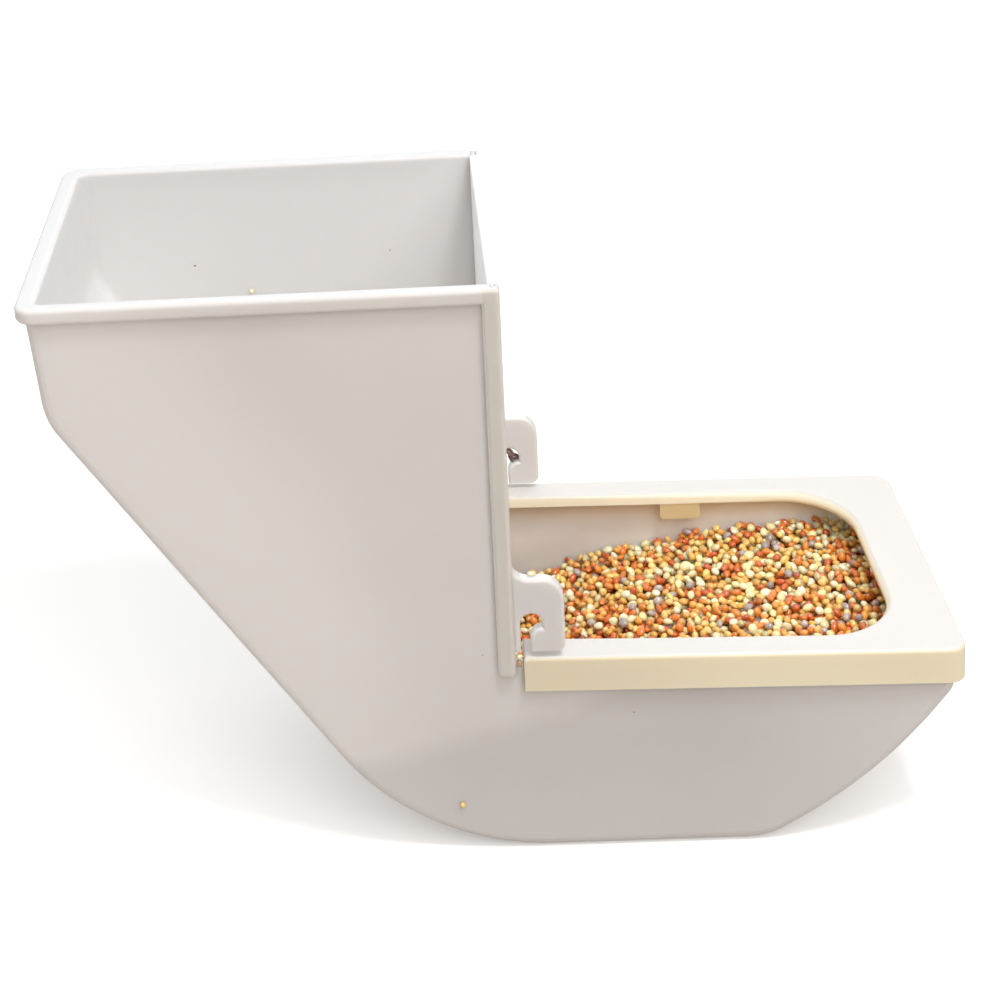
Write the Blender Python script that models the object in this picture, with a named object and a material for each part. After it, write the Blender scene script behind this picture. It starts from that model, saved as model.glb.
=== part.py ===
"""Hopper feeder for small livestock: a moulded L-shaped body that hangs on a cage wall by two
hooks, a front panel that slides down into it, an anti-spill rim on its trough, and the feed.

Metres, +Z up. The origin is the centre of the flat base. +X runs from the hopper's back to the
trough's outer end, and the object is symmetric about the plane Y = 0.
"""

import math

import bmesh
import bpy
from mathutils import Matrix, Vector

# Driving dimensions
LENGTH = 0.250  # hopper's rim bead at the back to the trough rim's outer end
WIDTH = 0.102  # across the hopper's rim bead
HEIGHT = 0.174  # base to the hopper's top
FRONT_X = -0.0375  # the hopper's front plane, which rests against the cage
BACK_X = -0.1652  # outer face of the rim bead at the back
END_X = BACK_X + LENGTH  # outer face of the trough rim's end
WALL = 0.0024
SIDE_DRAFT = 0.0358  # each side wall leans in by this much per metre of depth
GAP = 0.0003  # between pieces that touch

# Body
BEAD_OUT = 0.0022  # the rim bead and the front bands stand this far out of the side walls
BEAD_TALL = 0.0045
BEAD_CORNER = 0.0055
BEAD_ROUND = 0.0012  # outer edges of the bead and the bands
HOPPER_EDGE_ROUND = 0.0013  # inner edge of the hopper's top
EDGE_ROUND = 0.0028  # long outer edges of the moulding
CAVITY_ROUND = 0.0050  # the same edges inside it
BACK_LEAN = 0.0029  # the back wall moves forward by this much over its height
CHUTE_TOP_Z = 0.1394
CHUTE_FOOT_X = -0.0661  # where the chute's outer face would meet the base plane
CHUTE_TOP_ROUND = 0.021
CHUTE_FOOT_ROUND = 0.070
TOE_X = 0.0313  # where the sweep up to the trough's end leaves the base
TOE_ROUND = 0.020
SWEEP_X = 0.0622
SWEEP_Z = 0.0193
SWEEP_ROUND = 0.137
TROUGH_END_X = 0.0821
SHOULDER_Z = 0.0466
SHOULDER_ROUND = 0.007

# Trough edge: it falls a little towards its outer end, and the rim on it does the same
TROUGH_TOP_Z = 0.0603
TROUGH_FALL = 0.0195

# Bands down the hopper's front edges, and the groove in each for the panel
BAND_WIDE = 0.0048
BAND_PROUD = 0.00002  # of the bead, so that their faces don't coincide
BAND_FOOT_Z = 0.0570
BAND_FOOT_ROUND = 0.0016
LIP_THICK = 0.0010
GROOVE_WIDE = 0.0016
GROOVE_DEEP = WALL
GROOVE_FOOT_Z = 0.0595

# Front panel
PANEL_THICK = 0.0030
PANEL_FOOT_Z = 0.0450

# Hooks that take a horizontal wire of the cage
HOOK_REACH = 0.0137
HOOK_FOOT_Z = 0.0644
HOOK_TOP_Z = 0.0870
HOOK_INSET = 0.0006  # the hook's outer face, in from the band's
HOOK_THICK = 0.0038
HOOK_ROOT_DEEP = 0.0008  # into the band
HOOK_SHOULDER = 0.0060
HOOK_FOOT_ROUND = 0.0026
HOOK_ROOT_ROUND = 0.0050
HOOK_ROOT_TALL = 0.0060  # the root reaches this far above the hook's top
HOOK_EDGE_ROUND = 0.0008
SLOT_NEAR = 0.0016  # the slot's two walls, out from the front plane
SLOT_FAR = 0.0043
POCKET_WIDE = 0.0062
POCKET_Z = 0.0734
FINGER_ROUND = 0.0035
FINGER_Z = 0.0684

# Trough rim
RIM_START = 0.0022  # out from the hopper's front plane
RIM_WIDTH = 0.0933
RIM_THICK = 0.0024
RIM_CORNER = 0.0050
RIM_EDGE_ROUND = 0.0011  # outer edge of the top
RIM_SKIRT_THICK = 0.0016
RIM_SKIRT_TALL = 0.0102
RIM_LIP_THICK = 0.0014
RIM_LIP_TALL = 0.0034
RIM_MOUTH_WIDTH = 0.0748
RIM_MOUTH_END_X = 0.0690
RIM_MOUTH_CORNER = 0.020
RIM_MOUTH_ROUND = 0.0020  # edge of the top round the mouth
TAB_START_X = 0.0130
TAB_END_X = 0.0253
TAB_TALL = 0.0087
TAB_ROUND = 0.0012

# Feed surface, as (x, z) from the chute to the trough's outer end
FEED_SURFACE = (
    (-0.0820, 0.0262),
    (-0.0375, 0.0325),
    (-0.0200, 0.0350),
    (-0.0010, 0.0422),
    (0.0200, 0.0455),
    (0.0420, 0.0480),
)

ARC_ERROR = 0.00002  # the most that an arc's chords may cut off it
ARC_STEP_MAX = math.radians(12)
ROUND_SEGMENTS = 4  # across a rounded edge
ON_PLANE = 1e-5  # a point this close to a plane is on it
SAME_POINT = 1e-6
SHARP_ANGLE = math.radians(30)
STRAIGHT_ANGLE = math.radians(89.5)  # half the angle at a corner that needs no arc
UPRIGHT = 0.5  # a face whose normal has less than this along an axis runs along that axis
ABOVE = 0.010  # how far a cutter runs past the face it opens


def clear_scene():
    for obj in list(bpy.data.objects):
        bpy.data.objects.remove(obj, do_unlink=True)


def new_collection(name):
    collection = bpy.data.collections.new(name)
    bpy.context.scene.collection.children.link(collection)
    return collection


def new_material(name, colour, roughness):
    material = bpy.data.materials.new(name)
    material.use_nodes = True
    shader = material.node_tree.nodes["Principled BSDF"]
    shader.inputs["Base Color"].default_value = (*colour, 1.0)
    shader.inputs["Roughness"].default_value = roughness
    shader.inputs["Metallic"].default_value = 0.0
    return material


def side(z):
    """Half the moulding's outer width at height z."""
    return WIDTH / 2 - BEAD_OUT - SIDE_DRAFT * (HEIGHT - z)


def trough_edge(x):
    """Height of the trough's top edge at x."""
    return TROUGH_TOP_Z - TROUGH_FALL * (x - FRONT_X)


def arc_steps(radius, sweep):
    """How many chords an arc needs."""
    chord = min(ARC_STEP_MAX, 2 * math.acos(1 - ARC_ERROR / radius))
    return max(2, math.ceil(abs(sweep) / chord))


def rounded(corners):
    """The outline through corners of (x, z, radius), each replaced by an arc of its radius."""
    points = []
    for index, (x, z, radius) in enumerate(corners):
        corner = Vector((x, z))
        before = (Vector(corners[index - 1][:2]) - corner).normalized()
        after = (Vector(corners[(index + 1) % len(corners)][:2]) - corner).normalized()
        half_angle = before.angle(after) / 2
        if radius == 0 or half_angle > STRAIGHT_ANGLE:
            points.append(corner)
            continue
        centre = corner + (before + after).normalized() * radius / math.sin(half_angle)
        reach = radius / math.tan(half_angle)
        start = corner + before * reach - centre
        sweep = start.angle_signed(corner + after * reach - centre)
        steps = arc_steps(radius, sweep)
        for step in range(steps + 1):
            points.append(centre + Matrix.Rotation(-sweep * step / steps, 2) @ start)
    return points


def offset(corners, distance):
    """Corners moved inwards by distance, for an outline that runs anticlockwise."""
    moved = []
    for index, (x, z, radius) in enumerate(corners):
        corner = Vector((x, z))
        before = (corner - Vector(corners[index - 1][:2])).normalized()
        after = (Vector(corners[(index + 1) % len(corners)][:2]) - corner).normalized()
        normal_before = Vector((-before.y, before.x))
        normal_after = Vector((-after.y, after.x))
        shift = (normal_before + normal_after) / (1 + normal_before.dot(normal_after)) * distance
        moved.append((x + shift.x, z + shift.y, max(radius - distance, 0)))
    return moved


def extruded(name, points, thickness, collection):
    """A flat outline given thickness both ways along its normal, as a welded mesh object."""
    curve = bpy.data.curves.new(name, "CURVE")
    curve.dimensions = "2D"
    curve.fill_mode = "BOTH"
    curve.extrude = thickness / 2
    spline = curve.splines.new("POLY")
    spline.points.add(len(points) - 1)
    for target, point in zip(spline.points, points):
        target.co = (point[0], point[1], 0, 1)
    spline.use_cyclic_u = True
    guide = bpy.data.objects.new(name + "_guide", curve)
    bpy.context.scene.collection.objects.link(guide)
    graph = bpy.context.evaluated_depsgraph_get()
    mesh = bpy.data.meshes.new_from_object(guide.evaluated_get(graph))
    bpy.data.objects.remove(guide, do_unlink=True)
    bpy.data.curves.remove(curve)
    shape = bmesh.new()
    shape.from_mesh(mesh)
    bmesh.ops.remove_doubles(shape, verts=shape.verts, dist=SAME_POINT)
    flat = math.radians(0.1)
    bmesh.ops.dissolve_limit(shape, angle_limit=flat, verts=shape.verts, edges=shape.edges)
    bmesh.ops.recalc_face_normals(shape, faces=shape.faces)
    shape.to_mesh(mesh)
    shape.free()
    mesh.name = name
    obj = bpy.data.objects.new(name, mesh)
    collection.objects.link(obj)
    return obj


def prism(name, points, thickness, collection):
    """An outline in the XZ plane, extruded along Y about Y = 0."""
    obj = extruded(name, points, thickness, collection)
    obj.data.transform(Matrix.Rotation(math.radians(90), 4, "X"))
    return obj


def slab(name, points, low, high, collection):
    """An outline in the XY plane, extruded from height low to height high."""
    obj = extruded(name, points, high - low, collection)
    obj.data.transform(Matrix.Translation((0, 0, (low + high) / 2)))
    return obj


def lean_both_sides(obj, inset):
    """Puts the two faces of a prism that spans the object on the drafted side walls, inset inwards."""
    for vertex in obj.data.vertices:
        vertex.co.y = math.copysign(side(vertex.co.z) - inset, vertex.co.y)


def lean_one_side(obj, hand, inner_inset, outer_inset):
    """Turns a prism into a plate on one side wall, between two insets from the wall's outer face."""
    for vertex in obj.data.vertices:
        inset = outer_inset if vertex.co.y * hand > 0 else inner_inset
        vertex.co.y = hand * (side(vertex.co.z) - inset)
    if hand < 0:
        return
    shape = bmesh.new()
    shape.from_mesh(obj.data)
    bmesh.ops.recalc_face_normals(shape, faces=shape.faces)
    shape.to_mesh(obj.data)
    shape.free()


def round_edges(obj, radius, picked):
    """Rounds those edges of a mesh for which picked(edge) is true."""
    shape = bmesh.new()
    shape.from_mesh(obj.data)
    bmesh.ops.bevel(
        shape,
        geom=[edge for edge in shape.edges if picked(edge)],
        offset=radius,
        segments=ROUND_SEGMENTS,
        profile=0.5,
        affect="EDGES",
        clamp_overlap=False,
    )
    shape.to_mesh(obj.data)
    shape.free()


def outlines_a_side(edge):
    """True for an edge between a face that looks along Y and one that doesn't."""
    tilts = sorted(abs(face.normal.y) for face in edge.link_faces)
    return tilts[0] < UPRIGHT < tilts[1]


def runs_along_the_moulding(edge):
    """True for a side edge of the back, chute, base or trough end, and not of the top or the front."""
    low, high = sorted(vertex.co.z for vertex in edge.verts)
    on_front = all(abs(vertex.co.x - FRONT_X) < ON_PLANE for vertex in edge.verts)
    on_trough_edge = all(
        abs(vertex.co.z - trough_edge(vertex.co.x)) < ON_PLANE for vertex in edge.verts
    )
    at_the_top = low > HEIGHT - ON_PLANE
    return outlines_a_side(edge) and not (on_front or on_trough_edge or at_the_top)


def boolean(obj, other, operation):
    modifier = obj.modifiers.new(operation.title() + " " + other.name, "BOOLEAN")
    modifier.operation = operation
    modifier.solver = "EXACT"
    modifier.object = other


def apply_modifiers(obj):
    """Turns an object's evaluated shape into its mesh."""
    graph = bpy.context.evaluated_depsgraph_get()
    mesh = bpy.data.meshes.new_from_object(obj.evaluated_get(graph))
    obj.modifiers.clear()
    obj.data = mesh
    obj.data.name = obj.name


def move_origin(obj, point):
    """Puts an object's origin at a point of its sliding axis, and leaves its shape where it is."""
    obj.data.transform(Matrix.Translation(point).inverted())
    obj.location = point


def finish(obj, material):
    obj.data.materials.clear()
    obj.data.materials.append(material)
    for polygon in obj.data.polygons:
        polygon.use_smooth = True
    obj.data.set_sharp_from_angle(angle=SHARP_ANGLE)


def moulding_corners(top_z):
    """The moulding's side outline from the back's top round to the trough's end, open at the top."""
    return [
        (BACK_X + BEAD_OUT, top_z, 0),
        (BACK_X + BEAD_OUT + BACK_LEAN, CHUTE_TOP_Z, CHUTE_TOP_ROUND),
        (CHUTE_FOOT_X, 0, CHUTE_FOOT_ROUND),
        (TOE_X, 0, TOE_ROUND),
        (SWEEP_X, SWEEP_Z, SWEEP_ROUND),
        (TROUGH_END_X, SHOULDER_Z, SHOULDER_ROUND),
        (TROUGH_END_X, top_z, 0),
    ]


def make_outer_block(helpers):
    corners = moulding_corners(HEIGHT)[:-1]
    corners.append((TROUGH_END_X, trough_edge(TROUGH_END_X), 0))
    corners.append((FRONT_X, trough_edge(FRONT_X), 0))
    corners.append((FRONT_X, HEIGHT, 0))
    block = prism("body", rounded(corners), WIDTH, helpers)
    lean_both_sides(block, 0)
    round_edges(block, EDGE_ROUND, runs_along_the_moulding)
    return block


def make_cavity(helpers):
    corners = offset(moulding_corners(HEIGHT + ABOVE), WALL)
    cavity = prism("cavity", rounded(corners), WIDTH, helpers)
    lean_both_sides(cavity, WALL)
    round_edges(cavity, CAVITY_ROUND - WALL, runs_along_the_moulding)
    return cavity


def make_bead(helpers):
    """The thick rim round the hopper's top, as a slab that the cavity then opens."""
    half = WIDTH / 2
    corners = [
        (BACK_X, -half, BEAD_CORNER),
        (FRONT_X, -half, 0),
        (FRONT_X, half, 0),
        (BACK_X, half, BEAD_CORNER),
    ]
    bead = slab("bead", rounded(corners), HEIGHT - BEAD_TALL, HEIGHT, helpers)
    for vertex in bead.data.vertices:
        vertex.co.y *= (side(vertex.co.z) + BEAD_OUT) / half
    bead.data.update()
    round_edges(bead, BEAD_ROUND, is_sharp)
    return bead


def is_sharp(edge):
    return edge.calc_face_angle() > SHARP_ANGLE


def make_band(hand, helpers):
    """The raised band down one front edge of the hopper, flush with the bead."""
    top_z = HEIGHT - BEAD_TALL / 2
    corners = [
        (FRONT_X - BAND_WIDE, BAND_FOOT_Z, BAND_FOOT_ROUND),
        (FRONT_X, BAND_FOOT_Z, BAND_FOOT_ROUND),
        (FRONT_X, top_z, 0),
        (FRONT_X - BAND_WIDE, top_z, 0),
    ]
    band = prism(f"band_{hand:+d}", rounded(corners), WIDTH, helpers)
    lean_one_side(band, hand, WALL / 2, -BEAD_OUT - BAND_PROUD)

    def outer_and_below_the_top(edge):
        is_outer = all(abs(vertex.co.y) > side(vertex.co.z) for vertex in edge.verts)
        is_top = all(vertex.co.z > top_z - ON_PLANE for vertex in edge.verts)
        return is_outer and outlines_a_side(edge) and not is_top

    round_edges(band, BEAD_ROUND, outer_and_below_the_top)
    return band


def make_groove(hand, helpers):
    front = FRONT_X - LIP_THICK
    corners = [
        (front - GROOVE_WIDE, GROOVE_FOOT_Z, 0),
        (front, GROOVE_FOOT_Z, 0),
        (front, HEIGHT + ABOVE, 0),
        (front - GROOVE_WIDE, HEIGHT + ABOVE, 0),
    ]
    groove = prism(f"groove_{hand:+d}", rounded(corners), WIDTH, helpers)
    lean_one_side(groove, hand, WALL * 2, WALL - GROOVE_DEEP)
    return groove


def hook_outline():
    """The hook's side outline: root inside the band, flat top, rounded shoulder and foot, and slot."""
    root_x = FRONT_X - HOOK_ROOT_DEEP
    fillet_x = FRONT_X - HOOK_ROOT_DEEP / 2
    tip_x = FRONT_X + HOOK_REACH
    outer = rounded(
        [
            (FRONT_X + SLOT_FAR, HOOK_FOOT_Z, HOOK_FOOT_ROUND / 2),
            (tip_x, HOOK_FOOT_Z, HOOK_FOOT_ROUND),
            (tip_x, HOOK_TOP_Z, HOOK_SHOULDER),
            (fillet_x, HOOK_TOP_Z, HOOK_ROOT_ROUND),
            (fillet_x, HOOK_TOP_Z + HOOK_ROOT_TALL, 0),
            (root_x, HOOK_TOP_Z + HOOK_ROOT_TALL, 0),
            (root_x, HOOK_FOOT_Z, 0),
            (FRONT_X + SLOT_NEAR, HOOK_FOOT_Z, 0),
        ]
    )
    return outer + pocket_outline()


def arc(centre_x, centre_z, radius, start, end):
    """Points on an arc in the XZ plane, from angle start to angle end."""
    steps = arc_steps(radius, end - start)
    turns = [start + (end - start) * step / steps for step in range(steps + 1)]
    return [
        Vector((centre_x + radius * math.cos(turn), centre_z + radius * math.sin(turn)))
        for turn in turns
    ]


def pocket_outline():
    """The slot's inside, from its near wall over the pocket and down past the finger's tip."""
    radius = POCKET_WIDE / 2
    over = arc(FRONT_X + SLOT_NEAR + radius, POCKET_Z, radius, math.pi, 0)
    back = arc(FRONT_X + SLOT_FAR + FINGER_ROUND, FINGER_Z, FINGER_ROUND, math.pi / 2, math.pi)
    return over + back


def make_hook(hand, helpers):
    hook = prism(f"hook_{hand:+d}", hook_outline(), WIDTH, helpers)
    outer_inset = HOOK_INSET - BEAD_OUT
    lean_one_side(hook, hand, outer_inset + HOOK_THICK, outer_inset)

    def clear_of_the_band(edge):
        return max(vertex.co.x for vertex in edge.verts) > FRONT_X

    round_edges(hook, HOOK_EDGE_ROUND, lambda e: outlines_a_side(e) and clear_of_the_band(e))
    return hook


def make_body(parts, helpers, material):
    body = make_outer_block(helpers)
    boolean(body, make_bead(helpers), "UNION")
    for hand in (-1, 1):
        boolean(body, make_band(hand, helpers), "UNION")
    boolean(body, make_cavity(helpers), "DIFFERENCE")
    apply_modifiers(body)

    def inside_the_hopper_top(edge):
        level = all(vertex.co.z > HEIGHT - ON_PLANE for vertex in edge.verts)
        inner = all(abs(vertex.co.y) < side(HEIGHT) - WALL / 2 for vertex in edge.verts)
        behind = all(vertex.co.x > BACK_X + BEAD_OUT for vertex in edge.verts)
        on_front = all(vertex.co.x > FRONT_X - ON_PLANE for vertex in edge.verts)
        return level and inner and behind and not on_front and is_sharp(edge)

    round_edges(body, HOPPER_EDGE_ROUND, inside_the_hopper_top)
    for hand in (-1, 1):
        boolean(body, make_groove(hand, helpers), "DIFFERENCE")
        boolean(body, make_hook(hand, helpers), "UNION")
    helpers.objects.unlink(body)
    parts.objects.link(body)
    finish(body, material)
    return body


def upright(back_x, front_x, foot_z, top_z):
    """The side outline of an upright plate."""
    return [(back_x, foot_z), (front_x, foot_z), (front_x, top_z), (back_x, top_z)]


def make_panel(parts, helpers, material):
    """The plate between the side walls, with a thinner tongue down each edge for its groove."""
    top_z = HEIGHT - GAP
    outline = upright(FRONT_X - PANEL_THICK, FRONT_X, PANEL_FOOT_Z, top_z)
    panel = prism("front_panel", outline, WIDTH, parts)
    lean_both_sides(panel, WALL + GAP)
    groove_front = FRONT_X - LIP_THICK
    tongue_front = groove_front - GAP
    tongue_back = groove_front - GROOVE_WIDE + GAP
    outline = upright(tongue_back, tongue_front, GROOVE_FOOT_Z + GAP, top_z)
    tongue = prism("panel_tongue", outline, WIDTH, helpers)
    lean_both_sides(tongue, WALL - GROOVE_DEEP + GAP)
    boolean(panel, tongue, "UNION")
    finish(panel, material)
    move_origin(panel, (groove_front - GROOVE_WIDE / 2, 0, PANEL_FOOT_Z))
    return panel


def u_plan(half, start_x, end_x, radius):
    """A plan outline, square at its inner end and with rounded corners at its outer end."""
    return rounded(
        [
            (start_x, -half, 0),
            (end_x, -half, radius),
            (end_x, half, radius),
            (start_x, half, 0),
        ]
    )


def follow_trough_edge(obj):
    """Shears a piece so that what was level at the front plane falls as the trough's edge does."""
    for vertex in obj.data.vertices:
        vertex.co.z -= TROUGH_FALL * (vertex.co.x - FRONT_X)


def make_rim(parts, helpers, material):
    """A U-shaped cap: a flat top, a skirt outside the trough's wall and a short lip inside it."""
    under_z = TROUGH_TOP_Z + GAP
    top_z = under_z + RIM_THICK
    skirt_z = top_z - RIM_SKIRT_TALL
    start_x = FRONT_X + RIM_START
    half = RIM_WIDTH / 2
    mouth_half = RIM_MOUTH_WIDTH / 2

    rim = slab("trough_rim", u_plan(half, start_x, END_X, RIM_CORNER), skirt_z, top_z, parts)

    def at_the_top(edge):
        return min(vertex.co.z for vertex in edge.verts) > top_z - ON_PLANE

    round_edges(rim, RIM_EDGE_ROUND, at_the_top)

    inset = RIM_SKIRT_THICK
    plan = u_plan(half - inset, start_x - ABOVE, END_X - inset, RIM_CORNER - inset)
    hollow = slab("rim_hollow", plan, skirt_z - ABOVE, under_z, helpers)

    outset = RIM_LIP_THICK
    mouth_x = RIM_MOUTH_END_X
    plan = u_plan(mouth_half + outset, start_x, mouth_x + outset, RIM_MOUTH_CORNER + outset)
    lip = slab("rim_lip", plan, top_z - RIM_LIP_TALL, top_z - RIM_THICK / 2, helpers)

    plan = u_plan(mouth_half, start_x - ABOVE, mouth_x, RIM_MOUTH_CORNER)
    mouth = slab("rim_mouth", plan, skirt_z - ABOVE, top_z + ABOVE, helpers)

    boolean(rim, hollow, "DIFFERENCE")
    boolean(rim, lip, "UNION")
    boolean(rim, mouth, "DIFFERENCE")
    apply_modifiers(rim)

    def around_the_mouth(edge):
        level = min(vertex.co.z for vertex in edge.verts) > top_z - ON_PLANE
        inside = all(
            abs(vertex.co.y) < mouth_half + ON_PLANE and vertex.co.x < mouth_x + ON_PLANE
            for vertex in edge.verts
        )
        upright_faces = [face for face in edge.link_faces if abs(face.normal.z) < UPRIGHT]
        return level and inside and len(upright_faces) == 1

    round_edges(rim, RIM_MOUTH_ROUND, around_the_mouth)
    follow_trough_edge(rim)
    for hand in (-1, 1):
        tab = make_tab(hand, top_z, helpers)
        follow_trough_edge(tab)
        boolean(rim, tab, "UNION")
    finish(rim, material)
    move_origin(rim, (start_x, 0, TROUGH_TOP_Z))
    return rim


def make_tab(hand, top_z, helpers):
    """The small clip that hangs from the lip, half way along one side."""
    corners = [
        (TAB_START_X, top_z - TAB_TALL, TAB_ROUND),
        (TAB_END_X, top_z - TAB_TALL, TAB_ROUND),
        (TAB_END_X, top_z - RIM_THICK / 2, 0),
        (TAB_START_X, top_z - RIM_THICK / 2, 0),
    ]
    thickness = RIM_LIP_THICK - 2 * GAP
    tab = prism(f"rim_tab_{hand:+d}", rounded(corners), thickness, helpers)
    middle = hand * (RIM_MOUTH_WIDTH + RIM_LIP_THICK) / 2
    tab.data.transform(Matrix.Translation((0, middle, 0)))
    return tab


def make_feed(parts, helpers, material):
    """The loose feed as one lump that fills the foot of the chute and the trough."""
    inset = WALL + GAP
    feed = prism("feed", rounded(offset(moulding_corners(HEIGHT), inset)), WIDTH, parts)
    lean_both_sides(feed, inset)
    round_edges(feed, CAVITY_ROUND - WALL, runs_along_the_moulding)
    sky_z = HEIGHT + ABOVE
    outline = [
        (BACK_X, FEED_SURFACE[0][1]),
        *FEED_SURFACE,
        (END_X, FEED_SURFACE[-1][1]),
        (END_X, sky_z),
        (BACK_X, sky_z),
    ]
    air = prism("air", outline, WIDTH + ABOVE, helpers)
    boolean(feed, air, "DIFFERENCE")
    finish(feed, material)
    return feed


def main():
    clear_scene()
    parts = new_collection("hopper_feeder")
    helpers = new_collection("helpers")
    white = new_material("white_plastic", (0.78, 0.74, 0.68), 0.35)
    panel_white = new_material("panel_plastic", (0.80, 0.77, 0.72), 0.35)
    cream = new_material("cream_plastic", (0.85, 0.78, 0.62), 0.30)
    seed = new_material("mixed_seed", (0.70, 0.40, 0.14), 0.50)
    make_body(parts, helpers, white)
    make_panel(parts, helpers, panel_white)
    make_rim(parts, helpers, cream)
    make_feed(parts, helpers, seed)
    for helper in helpers.objects:
        helper.hide_render = True
        helper.display_type = "WIRE"


main()
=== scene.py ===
"""Looks for the hopper feeder: moulded plastic, a loose pile of mixed seed, and a small studio."""

import math
import random

import bmesh
import bpy
from mathutils import Euler, Matrix, Vector
from mathutils.bvhtree import BVHTree


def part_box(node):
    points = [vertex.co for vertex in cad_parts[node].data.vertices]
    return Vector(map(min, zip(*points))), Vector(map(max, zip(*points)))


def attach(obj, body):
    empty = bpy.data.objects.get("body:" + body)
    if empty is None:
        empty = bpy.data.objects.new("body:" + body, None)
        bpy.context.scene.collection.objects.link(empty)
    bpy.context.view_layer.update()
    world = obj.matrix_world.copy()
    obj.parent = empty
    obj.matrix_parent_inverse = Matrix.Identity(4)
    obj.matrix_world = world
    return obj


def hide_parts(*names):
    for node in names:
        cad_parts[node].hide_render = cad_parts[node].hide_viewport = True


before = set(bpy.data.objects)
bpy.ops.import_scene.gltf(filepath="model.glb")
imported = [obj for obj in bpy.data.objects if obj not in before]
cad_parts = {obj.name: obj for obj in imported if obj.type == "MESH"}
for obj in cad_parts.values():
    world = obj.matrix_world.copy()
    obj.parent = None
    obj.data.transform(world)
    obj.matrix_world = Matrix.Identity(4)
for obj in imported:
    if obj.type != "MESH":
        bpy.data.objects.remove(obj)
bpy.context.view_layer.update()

SEED = 11
MM = 0.001

# Places in the frame
BODY_LOW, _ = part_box("body")
RIM_LOW, RIM_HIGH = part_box("trough_rim")
FEED_LOW, FEED_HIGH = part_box("feed")

# Camera: its place, the ways its right, up and back point, and its lens
CAMERA_AT = (-0.05998, -0.55695, 0.40739)
CAMERA_RIGHT = (0.99719, 0.03457, -0.06651)
CAMERA_UP = (0.05655, 0.23546, 0.97024)
CAMERA_BACK = (0.04920, -0.97127, 0.23285)
CAMERA_LENS = 75.8
CAMERA_SHIFT = (0.2147, -0.6205)


# ---------------------------------------------------------------- node helpers


class Nodes:
    """A material's node tree, with short calls for the nodes used here."""

    def __init__(self, name):
        self.material = bpy.data.materials.new(name)
        self.material.use_nodes = True
        self.tree = self.material.node_tree
        self.shader = self.tree.nodes["Principled BSDF"]
        self.position = self.add("ShaderNodeTexCoord").outputs["Object"]

    def add(self, kind, inputs=None, **settings):
        node = self.tree.nodes.new(kind)
        for key, value in settings.items():
            setattr(node, key, value)
        for key, value in (inputs or {}).items():
            self.feed(node.inputs[key], value)
        return node

    def feed(self, socket, value):
        if isinstance(value, bpy.types.NodeSocket):
            self.tree.links.new(value, socket)
        else:
            socket.default_value = value

    def set(self, **values):
        for key, value in values.items():
            self.feed(self.shader.inputs[key.replace("_", " ")], value)

    def math(self, operation, a, b=0.0, clamp=False):
        node = self.add("ShaderNodeMath", operation=operation, use_clamp=clamp)
        self.feed(node.inputs[0], a)
        self.feed(node.inputs[1], b)
        return node.outputs[0]

    def noise(self, scale, detail=2.0, rough=0.5):
        values = {
            "Vector": self.position,
            "Scale": scale,
            "Detail": detail,
            "Roughness": rough,
            "Distortion": 0.0,
        }
        return self.add("ShaderNodeTexNoise", values).outputs["Fac"]

    def spread(self, value, low, high, to_low=0.0, to_high=1.0):
        """Maps value from low..high to to_low..to_high, smoothly and clamped."""
        node = self.add("ShaderNodeMapRange", {"Value": value}, interpolation_type="SMOOTHSTEP")
        for key, number in zip(
            ("From Min", "From Max", "To Min", "To Max"), (low, high, to_low, to_high)
        ):
            node.inputs[key].default_value = number
        return node.outputs[0]

    def mix(self, fac, a, b, blend="MIX"):
        node = self.add("ShaderNodeMix", data_type="RGBA", blend_type=blend)
        self.feed(node.inputs["Factor"], fac)
        self.feed(node.inputs["A"], a if isinstance(a, bpy.types.NodeSocket) else (*a, 1.0))
        self.feed(node.inputs["B"], b if isinstance(b, bpy.types.NodeSocket) else (*b, 1.0))
        return node.outputs["Result"]

    def tinted(self, fac, colour, tint):
        """The colour, multiplied by the tint where fac is 1."""
        return self.mix(fac, colour, self.mix(1.0, colour, tint, "MULTIPLY"))

    def ramp(self, value, *stops):
        node = self.add("ShaderNodeValToRGB", {"Fac": value})
        elements = node.color_ramp.elements
        while len(elements) < len(stops):
            elements.new(0.5)
        for element, (place, colour) in zip(elements, stops):
            element.position = place
            element.color = (*colour, 1.0)
        return node.outputs["Color"]

    def axes(self, vector=None):
        node = self.add("ShaderNodeSeparateXYZ", {"Vector": vector or self.position})
        return node.outputs

    def normal(self):
        return self.add("ShaderNodeNewGeometry").outputs["Normal"]

    def bump(self, height, strength, distance, normal=None):
        values = {"Height": height, "Strength": strength, "Distance": distance}
        if normal is not None:
            values["Normal"] = normal
        return self.add("ShaderNodeBump", values).outputs["Normal"]


def moulded_plastic(name, colour, shade, depth, glow=1.0, tint=None):
    """Glossy moulded polypropylene: cloudy colour, a fine skin and light scattered within.

    depth is how far red, green and blue light travel inside, glow how much of it does, and tint
    changes the colour for one moulding.
    """
    n = Nodes(name)
    cloud = n.noise(28.0, 3.0, 0.55)
    base = n.mix(n.spread(cloud, 0.30, 0.72), colour, shade)
    if tint is not None:
        base = tint(n, base)
    n.set(Base_Color=n.mix(specks(n), base, SPECK))
    n.set(Roughness=n.spread(n.noise(60.0, 4.0, 0.6), 0.3, 0.7, 0.30, 0.42))
    n.set(Subsurface_Weight=glow, Subsurface_Scale=1.0, Subsurface_Radius=depth)
    n.set(IOR=1.49, Coat_Weight=0.15, Coat_Roughness=0.15)
    skin = n.bump(n.noise(420.0, 2.0, 0.6), 0.04, 0.0003)
    n.set(Normal=n.bump(n.noise(45.0, 2.0), 0.08, 0.0012, skin))
    return n.material


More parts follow.
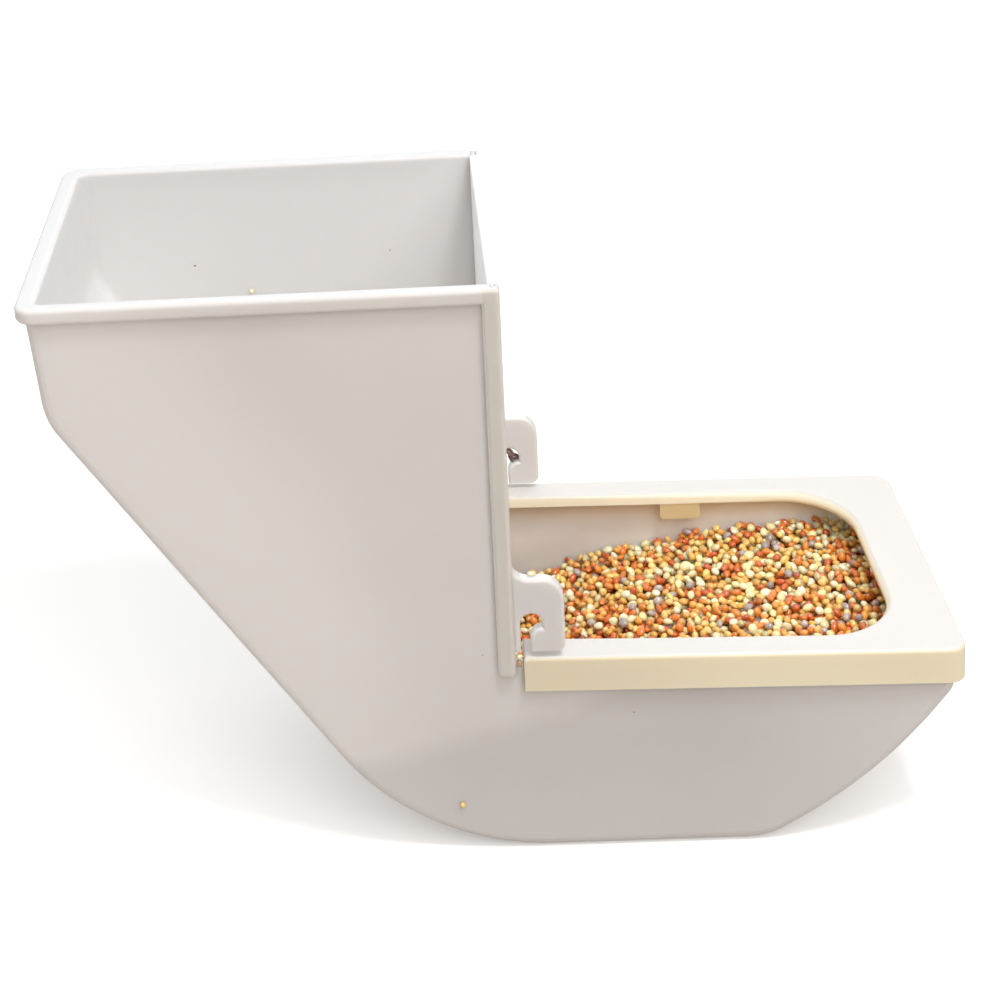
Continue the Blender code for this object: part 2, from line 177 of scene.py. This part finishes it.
SPECK = (0.30, 0.26, 0.22)
SPECK_CELLS = 45.0  # cells a metre
SPECK_SHARE = 0.10  # of the cells hold a speck
SPECK_SIZE = 0.0004 * SPECK_CELLS


def specks(n):
    """1 on a few dark specks of dust, else 0."""
    cells = n.add("ShaderNodeTexVoronoi", {"Vector": n.position, "Scale": SPECK_CELLS})
    held = n.math("LESS_THAN", n.axes(cells.outputs["Color"])[0], SPECK_SHARE)
    dot = n.spread(cells.outputs["Distance"], SPECK_SIZE / 2, SPECK_SIZE, 0.75, 0.0)
    return n.math("MULTIPLY", held, dot)


def faces_inwards(n):
    """1 on the body's inner faces and on its top, 0 on its outer faces."""
    x, y, _ = n.axes()
    towards = n.add("ShaderNodeCombineXYZ", {"Z": HEART_Z})
    n.feed(towards.inputs["X"], n.math("SUBTRACT", HEART_X, x))
    n.feed(towards.inputs["Y"], n.math("MULTIPLY", y, -1.0))
    both = n.add("ShaderNodeVectorMath", operation="DOT_PRODUCT")
    n.feed(both.inputs[0], n.normal())
    n.feed(both.inputs[1], towards.outputs[0])
    return n.spread(both.outputs["Value"], -0.002, 0.004)


def body_tint(n, base):
    """The body, with painted light and shade: paler inside, where light enters through its walls,
    and darker by the feed.
    """
    x, y, z = n.axes()
    base = n.mix(lit_from_behind(n), n.mix(1.0, base, FRONT_SHADE, "MULTIPLY"), BACK_LIT)
    base = n.tinted(on_band(n), base, BAND_SHADE)
    inner = n.mix(n.spread(x, DIM_X, BRIGHT_X), TROUGH_DIM, TROUGH_BRIGHT)
    past_front = n.spread(x, TROUGH_X - MM, TROUGH_X + MM)
    in_trough = n.math("MULTIPLY", past_front, n.spread(z, TROUGH_Z, TROUGH_Z + 2 * MM, 1.0, 0.0))
    inner = n.mix(in_trough, HOPPER_SIDE_SHADE, inner)
    level = n.math("ADD", z, rim_fall(n))
    under_lip = n.spread(level, LIP_FOOT_Z - WARM_FADE, LIP_FOOT_Z - MM / 2)
    inner = n.tinted(n.math("MULTIPLY", under_lip, in_trough), inner, THROUGH_RIM)
    _, across, up = n.axes(n.normal())
    whitened = n.mix(1.0, inner, INNER_WHITE, "MULTIPLY")
    inner = n.mix(n.math("ABSOLUTE", across), INNER_WHITE, whitened)
    bead_top = n.math("MULTIPLY", n.spread(up, 0.5, 0.95), n.spread(z, BEAD_Z, BEAD_Z + 2 * MM))
    inner = n.tinted(bead_top, inner, BEAD_TOP_SHADE)
    base = n.mix(faces_inwards(n), base, inner)
    return n.tinted(feed_shade_on_wall(n), base, FEED_SHADE_TINT)


def on_band(n):
    """1 on the raised bands beside the panel."""
    x, _, z = n.axes()
    starts = n.spread(x, BAND_X - MM / 2, BAND_X)
    ends = n.spread(x, BAND_END_X, BAND_END_X + MM / 2, 1.0, 0.0)
    above_foot = n.spread(z, BAND_FOOT_Z - MM, BAND_FOOT_Z)
    return n.math("MULTIPLY", n.math("MULTIPLY", starts, ends), above_foot)


def rim_fall(n):
    """How far the rim has fallen by here, from its end at the hopper."""
    return n.math("MULTIPLY", n.math("SUBTRACT", n.axes()[0], RIM_LOW.x), RIM_FALL)


# painted light on the body's outer faces along the chute and the back, where light comes through
# from behind; slight painted shade elsewhere towards the front
BACK_LIT = (0.765, 0.742, 0.725)
FRONT_SHADE = (0.965, 0.965, 0.965)
BAND_X = -0.0418  # the raised bands run from here
BAND_END_X = -0.0375  # to here
BAND_FOOT_Z = 0.0570
# painted shade on the raised bands beside the panel
BAND_SHADE = (0.930, 0.915, 0.870)
# painted shade on the bead's top around the hopper's mouth
BEAD_TOP_SHADE = (0.890, 0.893, 0.900)
BEAD_Z = 0.170  # the bead around the hopper's mouth starts here
HOPPER_SIDE_SHADE = (0.930, 0.922, 0.918)  # painted shade on the hopper's side walls, against its back
TROUGH_X = -0.035  # the trough is past this
TROUGH_Z = 0.060  # and below this
TROUGH_DIM = (0.915, 0.908, 0.890)  # painted shade on the trough's side walls by the hopper
TROUGH_BRIGHT = (1.190, 1.130, 1.070)  # and painted light by its end
DIM_X = -0.030  # the first holds up to here
BRIGHT_X = 0.040  # the second from here
LIP_FOOT_Z = 0.0570  # the rim's lip ends here, by the hopper
THROUGH_RIM = (0.980, 0.880, 0.740)  # light on the wall that has come through the rim
WARM_FADE = 0.0065  # it fades out this far below the lip
CHUTE_RISE = (0.809, 0.588)  # the way straight out from the chute, as (x, z)
CHUTE_LEVEL = -0.0464  # of the chute's outer face, along it
CHUTE_LIT = (0.015, 0.065)  # in from that face, the light from behind fades from here to here
BACK_LIT_X = (-0.095, -0.045)  # and it fades from here to here towards the front
BACK_LIT_FRONT = 0.1  # of it is left there


def lit_from_behind(n):
    """1 along the chute and the back, where light comes through from behind, to 0 at the front."""
    x, _, z = n.axes()
    along_x, along_z = (n.math("MULTIPLY", v, rise) for v, rise in zip((x, z), CHUTE_RISE))
    off_chute = n.math("SUBTRACT", n.math("ADD", along_x, along_z), CHUTE_LEVEL)
    by_chute = n.spread(off_chute, *CHUTE_LIT, 1.0, 0.0)
    return n.math("MULTIPLY", by_chute, n.spread(x, *BACK_LIT_X, 1.0, BACK_LIT_FRONT))


def panel_tint(n, base):
    """The panel: its inner face lets some light through from the front."""
    facing = n.axes(n.normal())[0]
    n.set(Emission_Color=(*PANEL_GLOW_COLOUR, 1.0))
    n.set(Emission_Strength=n.spread(facing, -0.9, -0.5, PANEL_GLOW, 0.0))
    return base


def rim_tint(n, base):
    """The rim: paler on top with painted light, and a deeper cream of painted light through the
    plastic on the lip and the clips inside its mouth.
    """
    up = n.axes(n.normal())[2]
    on_top = n.spread(up, 0.45, 0.97)
    base = n.mix(on_top, base, CREAM_TOP_LIGHT)
    x, y, z = n.axes()
    inside = n.spread(n.math("ABSOLUTE", y), MOUTH_HALF, MOUTH_HALF + MM, 1.0, 0.0)
    before_end = n.spread(x, MOUTH_END, MOUTH_END + MM, 1.0, 0.0)
    in_mouth = n.math("MULTIPLY", inside, before_end)
    facing_in = n.math("MULTIPLY", n.spread(up, 0.3, 0.8, 1.0, 0.0), in_mouth)
    over_foot = n.math("ADD", n.math("SUBTRACT", z, RIM_HIGH.z - LIP_TALL), rim_fall(n))
    lip = n.mix(n.spread(over_foot, LIP_TALL * 0.35, LIP_TALL * 0.9), CREAM_LIP_LIT, CREAM_LIP_TOP_LIT)
    base = n.mix(facing_in, base, lip)
    clip = n.math("MULTIPLY", facing_in, n.spread(z, RIM_CLIP_Z - MM, RIM_CLIP_Z, 1.0, 0.0))
    n.set(Emission_Color=(*CREAM_GLOW, 1.0))
    n.set(Emission_Strength=n.math("MULTIPLY", n.math("SUBTRACT", facing_in, clip), LIP_GLOW))
    base = n.mix(clip, base, CREAM_CLIP_LIT)
    by_hopper = n.spread(x, RIM_LOW.x, RIM_LOW.x + RIM_SHADE_LONG, RIM_SHADE, 1.0)
    value = n.math("MAXIMUM", by_hopper, on_top)
    return n.add("ShaderNodeHueSaturation", {"Color": base, "Value": value}).outputs[0]


# painted shade on the body's wall where the feed lies behind it
FEED_SHADE_TINT = (0.880, 0.876, 0.876)
FEED_LINE = (  # top of the feed's shadow on the side wall, as (x, z) from the chute onwards
    (-0.1050, 0.0265),
    (-0.0700, 0.0320),
    (-0.0484, 0.0375),
    (-0.0261, 0.0435),
    (-0.0100, 0.0500),
    (0.0300, 0.0560),
    (0.0850, 0.0520),
)
FEED_LINE_TOP = 0.1  # the line's full scale
FEED_LINE_BLUR = 0.006  # how far the line wanders up and down
FEED_FADE = 0.0100  # the shadow's edge is this soft
FEED_THINS_X = 0.010  # from here to the trough's end the shadow fades away
FEED_SHADOW_LOW = 0.36  # of its full depth, at the base
FEED_SHADOW_Z = 0.045  # it is deepest from here up


def feed_shade_on_wall(n):
    """1 where the feed lies against the far side of the wall and the painted shade darkens it most,
    0 clear of it.
    """
    x, _, z = n.axes()
    blur = n.math("MULTIPLY", n.math("SUBTRACT", n.noise(60.0, 2.0), 0.5), FEED_LINE_BLUR)
    curve = n.add("ShaderNodeFloatCurve")
    low_x, high_x = FEED_LINE[0][0], FEED_LINE[-1][0]
    points = curve.mapping.curves[0].points
    while len(points) < len(FEED_LINE):
        points.new(0.5, 0.5)
    for point, (px, pz) in zip(points, FEED_LINE):
        point.location = ((px - low_x) / (high_x - low_x), pz / FEED_LINE_TOP)
    curve.mapping.update()
    along = n.math("DIVIDE", n.math("SUBTRACT", x, low_x), high_x - low_x, clamp=True)
    n.feed(curve.inputs["Value"], along)
    line = n.math("MULTIPLY", curve.outputs[0], FEED_LINE_TOP)
    depth = n.math("SUBTRACT", line, n.math("ADD", z, blur))
    below = n.spread(depth, -FEED_FADE / 2, FEED_FADE / 2)
    begins = n.spread(x, low_x, low_x + FEED_FADE)
    deep = n.spread(z, 0.0, FEED_SHADOW_Z, FEED_SHADOW_LOW, 1.0)
    ends = n.spread(x, FEED_THINS_X, high_x - FEED_FADE, 1.0, 0.0)
    return n.math("MULTIPLY", n.math("MULTIPLY", below, begins), n.math("MULTIPLY", deep, ends))


# ---------------------------------------------------------------- seed

GRAIN_KINDS = {
    # name: share of the mix; half length, width and height in mm; main and second colour
    "millet_gold": (0.36, 1.42, 1.10, 0.90, (0.90, 0.43, 0.055), (0.98, 0.70, 0.22)),
    "millet_cream": (0.24, 1.72, 1.32, 1.02, (1.0, 0.86, 0.42), (1.0, 0.97, 0.68)),
    "millet_red": (0.28, 1.66, 1.10, 0.92, (0.70, 0.135, 0.012), (0.90, 0.29, 0.028)),
    "seed_maroon": (0.02, 1.50, 1.12, 0.95, (0.42, 0.075, 0.026), (0.58, 0.15, 0.045)),
    "seed_grey": (0.05, 1.55, 1.30, 1.00, (0.40, 0.34, 0.32), (0.58, 0.50, 0.46)),
    "seed_olive": (0.05, 1.42, 1.12, 0.95, (0.66, 0.56, 0.26), (0.84, 0.74, 0.42)),
    "brown_husk": (0.0, 1.40, 1.00, 0.80, (0.42, 0.20, 0.09), (0.55, 0.30, 0.15)),
    "dark_husk": (0.0, 1.50, 1.00, 0.70, (0.10, 0.055, 0.045), (0.20, 0.13, 0.11)),
}


def grain_material(name, main, second):
    """A glossy husk: each grain its own shade, mottled, and deeper in colour towards its edges, as
    painted shade.
    """
    n = Nodes(name)
    each = n.add("ShaderNodeNewGeometry").outputs["Random Per Island"]
    mottle = n.noise(700.0, 2.0)
    blend = n.math("ADD", n.math("MULTIPLY", each, 0.8), n.math("MULTIPLY", mottle, 0.35))
    colour = n.mix(n.spread(blend, 0.2, 0.95), main, second)
    # painted shade: each grain's colour deepens towards its edges, where it turns from the camera
    rim = n.add("ShaderNodeLayerWeight", {"Blend": 0.35}).outputs["Facing"]
    colour = n.tinted(n.spread(rim, 0.35, 1.0, 0.0, 0.7), colour, colour)
    hue = n.add("ShaderNodeHueSaturation", {"Color": colour})
    value = n.math("FRACT", n.math("MULTIPLY", each, 17.3))
    turn = n.math("FRACT", n.math("MULTIPLY", each, 7.7))
    n.feed(hue.inputs["Value"], n.spread(value, 0.0, 1.0, 0.82, 1.03))
    n.feed(hue.inputs["Hue"], n.spread(turn, 0.0, 1.0, 0.492, 0.508))
    n.set(Base_Color=hue.outputs[0])
    n.set(Roughness=n.spread(mottle, 0.3, 0.7, 0.29, 0.38))
    n.set(Subsurface_Weight=0.35, Subsurface_Scale=0.0008, Subsurface_Radius=(1.0, 0.5, 0.2))
    n.set(Coat_Weight=1.0, Coat_Roughness=0.07, Coat_IOR=1.6)
    n.set(Normal=n.bump(n.noise(1500.0, 2.0), 0.15, 0.0001))
    return n.material


def surface_finder():
    """Functions that give the feed's heights at (x, y), and the room around a point inside it."""
    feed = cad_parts["feed"]
    graph = bpy.context.evaluated_depsgraph_get()
    tree = BVHTree.FromObject(feed, graph)
    body = BVHTree.FromObject(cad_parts["body"], graph)

    def heights(x, y):
        """The feed's underside and its surface, or None off it."""
        over = tree.ray_cast(Vector((x, y, FEED_HIGH.z + 0.01)), Vector((0, 0, -1)))[0]
        under = tree.ray_cast(Vector((x, y, FEED_LOW.z - 0.01)), Vector((0, 0, 1)))[0]
        return (under.z, over.z) if over is not None and under is not None else None

    def room(point):
        """Distance from the body's wall, or 0 outside the feed's space."""
        near = body.find_nearest(point)
        if near[0] is None:
            return 1.0
        outside = (point - near[0]).dot(near[1])
        return near[3] if outside > 0 else 0.0

    return heights, room


class Pile:
    """Grains dropped one by one, each to rest on those below it."""

    def __init__(self):
        self.cells = {}
        self.grains = []

    def cell(self, x, y):
        return int(x // PILE_CELL), int(y // PILE_CELL)

    def near(self, x, y):
        i, j = self.cell(x, y)
        for di in (-1, 0, 1):
            for dj in (-1, 0, 1):
                yield from self.cells.get((i + di, j + dj), ())

    def rest_height(self, x, y, radius, floor):
        z = floor
        for gx, gy, gz, gr in self.near(x, y):
            reach = radius + gr
            gap2 = reach * reach - (gx - x) ** 2 - (gy - y) ** 2
            if gap2 > 0:
                z = max(z, gz + math.sqrt(gap2))
        return z

    def add(self, x, y, z, radius, kind):
        self.cells.setdefault(self.cell(x, y), []).append((x, y, z, radius))
        self.grains.append((Vector((x, y, z)), 1.0, kind))


PILE_DEPTH = 6.5 * MM  # of loose grains, down from the feed's surface
PILE_CELL = 3.6 * MM  # wider than two grains' radii
DROP_TRIES = 7
MISSES_ALLOWED = 260
MISSES_FORGIVEN = 4  # for each grain that finds room
PACKING = 0.88  # of a grain's mean radius: how close its neighbours may come
WALL_ROOM = 1.0  # of that radius, from a grain's middle to the wall
TOP_OVER = 0.35  # of that radius, how far a grain may stand over the feed's surface


def pour(rng):
    """Drops grains where each comes to rest lowest, until hardly any more find room."""
    heights, room = surface_finder()
    pile = Pile()
    names = list(GRAIN_KINDS)
    shares = [GRAIN_KINDS[name][0] for name in names]
    misses = 0
    while misses < MISSES_ALLOWED:
        kind = rng.choices(names, shares)[0]
        radius = sum(GRAIN_KINDS[kind][1:4]) / 3 * MM * PACKING
        best = None
        for _ in range(DROP_TRIES):
            x = rng.uniform(FEED_LOW.x, FEED_HIGH.x)
            y = rng.uniform(FEED_LOW.y, FEED_HIGH.y)
            found = heights(x, y)
            if found is None:
                continue
            foot, top = found
            top += ripple(x, y)
            z = pile.rest_height(x, y, radius, max(top - PILE_DEPTH, foot + radius))
            over = z + radius - top
            if (best is None or over < best[0]) and room(Vector((x, y, z))) > WALL_ROOM * radius:
                best = (over, x, y, z)
        if best is None or best[0] > TOP_OVER * radius:
            misses += 1
            continue
        misses = max(0, misses - MISSES_FORGIVEN)
        pile.add(*best[1:], radius, kind)
    return [(place, size, kind, grain_turn(rng)) for place, size, kind in pile.grains]


HEAP = (  # how much higher the loose grains lie than the feed's solid, as (x, height)
    (-0.0500, 0.0),
    (-0.0340, 0.6 * MM),
    (-0.0180, 3.0 * MM),
    (0.0, 1.9 * MM),
    (0.0400, 1.1 * MM),
    (0.0630, 2.6 * MM),
    (0.0780, 2.6 * MM),
)


def ripple(x, y):
    """Low mounds and hollows of the poured feed."""
    for (low_x, low), (high_x, high) in zip(HEAP, HEAP[1:]):
        if low_x <= x < high_x:
            heap = low + (high - low) * (x - low_x) / (high_x - low_x)
            break
    else:
        heap = 0.0
    return heap + (
        0.7 * math.sin(95 * x + 1.3) * math.sin(120 * y + 0.4)
        + 0.4 * math.sin(210 * x - 90 * y)
        + 0.3 * math.sin(330 * y + 150 * x + 2.0)
    ) * MM


GRAIN_TAPER = 0.36  # how much thinner a unit grain is at its pointed end
GRAIN_DENT_X = -0.8  # the dent is beyond this
GRAIN_DENT = 0.12
GRAIN_LEAN = 0.6  # radians, the usual lean of a grain off the flat


def grain_shape():
    """A unit grain: an egg with a slightly pointed end and a shallow dent at the other."""
    shape = bmesh.new()
    bmesh.ops.create_icosphere(shape, subdivisions=2, radius=1.0)
    for vertex in shape.verts:
        x = vertex.co.x
        taper = 1 - GRAIN_TAPER * max(x, 0) ** 2
        vertex.co.y *= taper
        vertex.co.z *= taper
        if x < GRAIN_DENT_X:
            vertex.co.x += GRAIN_DENT
    return shape


def grain_turn(rng):
    """Grains lie mostly flat, turned any way."""
    lean = Euler((rng.gauss(0, GRAIN_LEAN), rng.gauss(0, GRAIN_LEAN), 0)).to_matrix()
    spin = Matrix.Rotation(rng.uniform(0, math.tau), 3, "Z")
    return lean @ spin


FLAT = (0.0, 0.0, 0.0)
STRAYS = (  # single grains and bits of husk off the pile: place, size, kind and turn
    ((-0.0540, -0.0435, 0.0153), 0.78, "millet_gold", (0.0, 0.8, 0.0)),  # on the body's near side
    ((-0.1095, 0.0445, 0.1332), 0.55, "millet_cream", FLAT),  # stuck inside the hopper
    ((-0.0322, -0.0445, 0.0875), 0.76, "millet_cream", (0.0, 0.15, 0.3)),  # lying on a hook
    ((-0.0365, -0.0456, 0.0630), 0.62, "millet_cream", FLAT),  # caught between the body and the rim
    ((-0.0365, -0.0456, 0.0609), 0.85, "brown_husk", (0.0, 1.4, 0.0)),
    ((-0.0324, 0.0448, 0.0746), 1.45, "dark_husk", (0.0, 0.8, 0.0)),  # caught in the far hook
    ((-0.0311, 0.0449, 0.0731), 1.30, "dark_husk", (0.5, 0.3, 0.0)),
    ((-0.0321, 0.0450, 0.0729), 1.40, "dark_husk", (0.3, 1.3, 0.0)),
    ((-0.1265, 0.0453, 0.1422), 0.30, "dark_husk", FLAT),  # dust inside the hopper
    ((-0.0662, 0.0453, 0.1443), 0.22, "dark_husk", FLAT),
    ((-0.0057, -0.0441, 0.0433), 0.20, "dark_husk", FLAT),  # and on the near side
    ((-0.0465, -0.0448, 0.0633), 0.20, "dark_husk", FLAT),
)


UNEVEN = (0.86, 1.14)  # how far each of a grain's sides may be from its kind's


def make_grains(grains, rng):
    """One object for each kind of grain."""
    pattern = grain_shape()
    corners = [vertex.co.copy() for vertex in pattern.verts]
    faces = [[vertex.index for vertex in face.verts] for face in pattern.faces]
    pattern.free()
    meshes = {}
    for place, size, kind, turn in grains:
        scale = Vector([side * rng.uniform(*UNEVEN) for side in GRAIN_KINDS[kind][1:4]]) * size * MM
        points, sides = meshes.setdefault(kind, ([], []))
        first = len(points)
        points.extend(Vector(place) + turn @ (corner * scale) for corner in corners)
        sides.extend([first + index for index in face] for face in faces)
    for kind, (points, sides) in meshes.items():
        mesh = bpy.data.meshes.new(kind)
        mesh.from_pydata(points, [], sides)
        mesh.shade_smooth()
        main, second = GRAIN_KINDS[kind][4:]
        mesh.materials.append(grain_material(kind, main, second))
        grains_of_kind = bpy.data.objects.new(kind, mesh)
        bpy.context.scene.collection.objects.link(grains_of_kind)
        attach(grains_of_kind, "hopper_body")


BED_DROP = 3.0 * MM
WELD = 1e-6  # corners closer than this are one


def make_bed():
    """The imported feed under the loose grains: the feed's solid with its top lowered."""
    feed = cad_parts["feed"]
    lowered = bpy.data.objects.new("lowered", feed.data.copy())
    lowered.data.transform(Matrix.Translation((0, 0, -BED_DROP)))
    bed = bpy.data.objects.new("feed_bed", feed.data.copy())
    for obj in (lowered, bed):
        bpy.context.scene.collection.objects.link(obj)
        shape = bmesh.new()
        shape.from_mesh(obj.data)
        bmesh.ops.remove_doubles(shape, verts=shape.verts, dist=WELD)
        shape.to_mesh(obj.data)
        shape.free()
    cut = bed.modifiers.new("Lower", "BOOLEAN")
    cut.operation = "INTERSECT"
    cut.object = lowered
    graph = bpy.context.evaluated_depsgraph_get()
    mesh = bpy.data.meshes.new_from_object(bed.evaluated_get(graph))
    bed.modifiers.clear()
    bed.data = mesh
    bpy.data.objects.remove(lowered)
    mesh.materials.clear()
    mesh.materials.append(bed_material())
    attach(bed, "hopper_body")
    return bed


def bed_material():
    """Seed in painted shadow: cells of a grain's size in the mix's colours."""
    n = Nodes("packed_seed")
    cells = n.add("ShaderNodeTexVoronoi", {"Vector": n.position, "Scale": 420.0})
    shade = n.ramp(
        n.math("FRACT", cells.outputs["Color"]),
        (0.0, (0.30, 0.055, 0.012)),
        (0.4, (0.42, 0.20, 0.05)),
        (0.7, (0.50, 0.33, 0.12)),
        (1.0, (0.60, 0.48, 0.27)),
    )
    # painted shade in the gaps between the cells
    gap = n.spread(cells.outputs["Distance"], 0.2, 0.75, 1.0, 0.25)
    n.set(Base_Color=n.mix(1.0, shade, gap, "MULTIPLY"))
    n.set(Roughness=n.spread(n.noise(500.0), 0.3, 0.7, 0.4, 0.6))
    n.set(Normal=n.bump(gap, 0.8, 0.001))
    return n.material


# ---------------------------------------------------------------- studio


FLOOR_BOUNCE = (0.42, 0.38, 0.34)  # the floor as the object sees it: darker and warmer
FLOOR_GLOW = 0.16  # and evenly, also where the object shades it
FLOOR_GLOW_COLOUR = (1.0, 0.94, 0.90)
FLOOR_SEEN_GLOW = 0.20  # how much the floor is lifted towards white where the camera sees it
FLOOR_HALF = 6.0
FLOOR_GAP = 0.2 * MM  # under the body


def make_floor():
    mesh = bpy.data.meshes.new("floor")
    shape = bmesh.new()
    bmesh.ops.create_grid(shape, x_segments=1, y_segments=1, size=FLOOR_HALF)
    shape.to_mesh(mesh)
    shape.free()
    floor = bpy.data.objects.new("floor", mesh)
    bpy.context.scene.collection.objects.link(floor)
    floor.location = (0, 0, BODY_LOW.z - FLOOR_GAP)
    n = Nodes("pale_floor")
    seen = n.mix(n.spread(n.noise(3.0), 0.3, 0.7), (0.94, 0.94, 0.93), (0.96, 0.96, 0.95))
    by_camera = n.add("ShaderNodeLightPath").outputs["Is Camera Ray"]
    n.set(Base_Color=n.mix(by_camera, FLOOR_BOUNCE, seen), Roughness=0.6)
    n.set(Emission_Color=n.mix(by_camera, FLOOR_GLOW_COLOUR, (1.0, 1.0, 1.0)))
    n.set(Emission_Strength=n.spread(by_camera, 0.0, 1.0, FLOOR_GLOW, FLOOR_SEEN_GLOW))
    mesh.materials.append(n.material)


def area_light(name, place, aim, size, power, colour=(1, 1, 1)):
    light = bpy.data.lights.new(name, "AREA")
    light.shape = "DISK"
    light.size = size
    light.energy = power
    light.color = colour
    obj = bpy.data.objects.new(name, light)
    bpy.context.scene.collection.objects.link(obj)
    obj.location = place
    obj.rotation_euler = (Vector(aim) - Vector(place)).to_track_quat("-Z", "Y").to_euler()


SKY = 0.86  # straight up
SKY_LOW = 0.0  # at the horizon, in front
SKY_BACK = 0.72  # more, towards the back
SKY_COLOUR = (0.985, 0.992, 1.0)
FILL_COLOUR = (1.0, 0.965, 0.94)


def make_sky():
    """A soft sky, bright overhead and behind, as from a big window at the back."""
    world = bpy.data.worlds.new("studio")
    bpy.context.scene.world = world
    world.use_nodes = True
    tree = world.node_tree
    direction = tree.nodes.new("ShaderNodeTexCoord")
    axes = tree.nodes.new("ShaderNodeSeparateXYZ")
    tree.links.new(direction.outputs["Generated"], axes.inputs[0])
    total = tree.nodes.new("ShaderNodeMath")
    spans = (("Z", 0.0, 1.0, SKY_LOW, SKY), ("Y", -0.15, 1.0, 0.0, SKY_BACK))
    for socket, (axis, low, high, to_low, to_high) in zip(total.inputs, spans):
        part = tree.nodes.new("ShaderNodeMapRange")
        tree.links.new(axes.outputs[axis], part.inputs["Value"])
        tree.links.new(part.outputs[0], socket)
        limits = {"From Min": low, "From Max": high, "To Min": to_low, "To Max": to_high}
        for key, value in limits.items():
            part.inputs[key].default_value = value
    seen = tree.nodes.new("ShaderNodeMath")  # plain white where the camera looks past the floor
    seen.operation = "MAXIMUM"
    tree.links.new(total.outputs[0], seen.inputs[0])
    tree.links.new(tree.nodes.new("ShaderNodeLightPath").outputs["Is Camera Ray"], seen.inputs[1])
    tree.links.new(seen.outputs[0], tree.nodes["Background"].inputs["Strength"])
    tree.nodes["Background"].inputs["Color"].default_value = (*SKY_COLOUR, 1.0)


def make_lights():
    """Two soft fills from the front, and a small window overhead for the highlights."""
    middle = (0.0, 0.0, 0.08)
    area_light("front_fill_right", (0.40, -1.2, 1.20), middle, 1.2, 10.7, FILL_COLOUR)
    area_light("front_fill_left", (-1.0, -1.2, 0.90), middle, 1.0, 1.0, FILL_COLOUR)
    area_light("window", (0.25, -0.45, 1.30), (0.0, 0.0, 0.05), 0.24, 6.5)


NEAR_HOME = 0.02  # the lens is fully shifted up to this far from the camera's place
OFF_HOME = 0.05  # and centred from here on


def make_camera():
    """The camera, whose lens is shifted at its own place and centred once it is moved elsewhere."""
    camera = bpy.data.cameras.new("camera")
    camera.lens = CAMERA_LENS
    camera.sensor_width = 36
    obj = bpy.data.objects.new("camera", camera)
    home = bpy.data.objects.new("camera_home", None)
    home.location = CAMERA_AT
    for thing in (obj, home):
        bpy.context.scene.collection.objects.link(thing)
    turn = Matrix((CAMERA_RIGHT, CAMERA_UP, CAMERA_BACK)).transposed()
    obj.matrix_world = Matrix.Translation(CAMERA_AT) @ turn.to_4x4()
    bpy.context.scene.camera = obj
    for path, shift in zip(("shift_x", "shift_y"), CAMERA_SHIFT):
        curve = camera.driver_add(path)
        curve.driver.type = "SUM"
        away = curve.driver.variables.new()
        away.type = "LOC_DIFF"
        away.targets[0].id, away.targets[1].id = obj, home
        for modifier in list(curve.modifiers):
            curve.modifiers.remove(modifier)
        for distance, value in ((0.0, shift), (NEAR_HOME, shift), (OFF_HOME, 0.0), (1.0, 0.0)):
            curve.keyframe_points.insert(distance, value).interpolation = "LINEAR"


# ---------------------------------------------------------------- main

WHITE = (0.730, 0.704, 0.686)
WHITE_SHADE = (0.715, 0.690, 0.670)
WHITE_DEPTH = (0.0030, 0.0028, 0.0026)
# painted light: the body's inner faces paler, where light comes through its walls
INNER_WHITE = (0.800, 0.800, 0.798)
HEART_X = -0.090  # inner faces look towards this line, and upwards
HEART_Z = 0.030
PANEL_WHITE = (0.96, 0.945, 0.935)
PANEL_SHADE = (0.95, 0.935, 0.925)
PANEL_GLOW = 0.11
PANEL_GLOW_COLOUR = (1.0, 0.97, 0.95)
CREAM = (0.855, 0.765, 0.560)
CREAM_SHADE = (0.850, 0.750, 0.545)
# painted light: the rim's top paler
CREAM_TOP_LIGHT = (0.722, 0.708, 0.678)
# painted light come through the rim from above: on the lip, paler towards its top, and deeper in
# colour on the clips
CREAM_LIP_LIT = (0.870, 0.805, 0.630)
CREAM_LIP_TOP_LIT = (0.930, 0.900, 0.820)
CREAM_CLIP_LIT = (0.770, 0.615, 0.360)
CREAM_GLOW = (1.0, 0.92, 0.72)
LIP_GLOW = 0.17  # light that the lip lets through from above
CREAM_DEPTH = (0.0020, 0.0016, 0.0010)
CREAM_GLOWS = 0.5  # of the light that enters the cream plastic scatters inside it
MOUTH_HALF = 0.0380  # the rim's mouth and its lip lie inside this, across
MOUTH_END = 0.0706
LIP_TALL = 0.0034
RIM_FALL = 0.0195  # how far the rim falls for each metre of its length
RIM_CLIP_Z = RIM_HIGH.z - 0.0040  # the clips hang below this
RIM_SHADE = 0.89  # of its brightness is left on the rim's side by the hopper
RIM_SHADE_LONG = 0.070  # and this much further along it is all back


def dress(node, material):
    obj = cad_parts[node]
    obj.data.materials.clear()
    obj.data.materials.append(material)


white = moulded_plastic("white_plastic", WHITE, WHITE_SHADE, WHITE_DEPTH, tint=body_tint)
panel = moulded_plastic("panel_plastic", PANEL_WHITE, PANEL_SHADE, WHITE_DEPTH, tint=panel_tint)
cream = moulded_plastic("cream_plastic", CREAM, CREAM_SHADE, CREAM_DEPTH, CREAM_GLOWS, rim_tint)
dress("body", white)
dress("front_panel", panel)
dress("trough_rim", cream)

rng = random.Random(SEED)
bed = make_bed()
strays = [(place, size, kind, Euler(turn).to_matrix()) for place, size, kind, turn in STRAYS]
make_grains([*pour(rng), *strays], rng)
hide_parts("feed")

make_floor()
make_sky()
make_lights()
make_camera()
bpy.context.scene.view_settings.view_transform = "Standard"
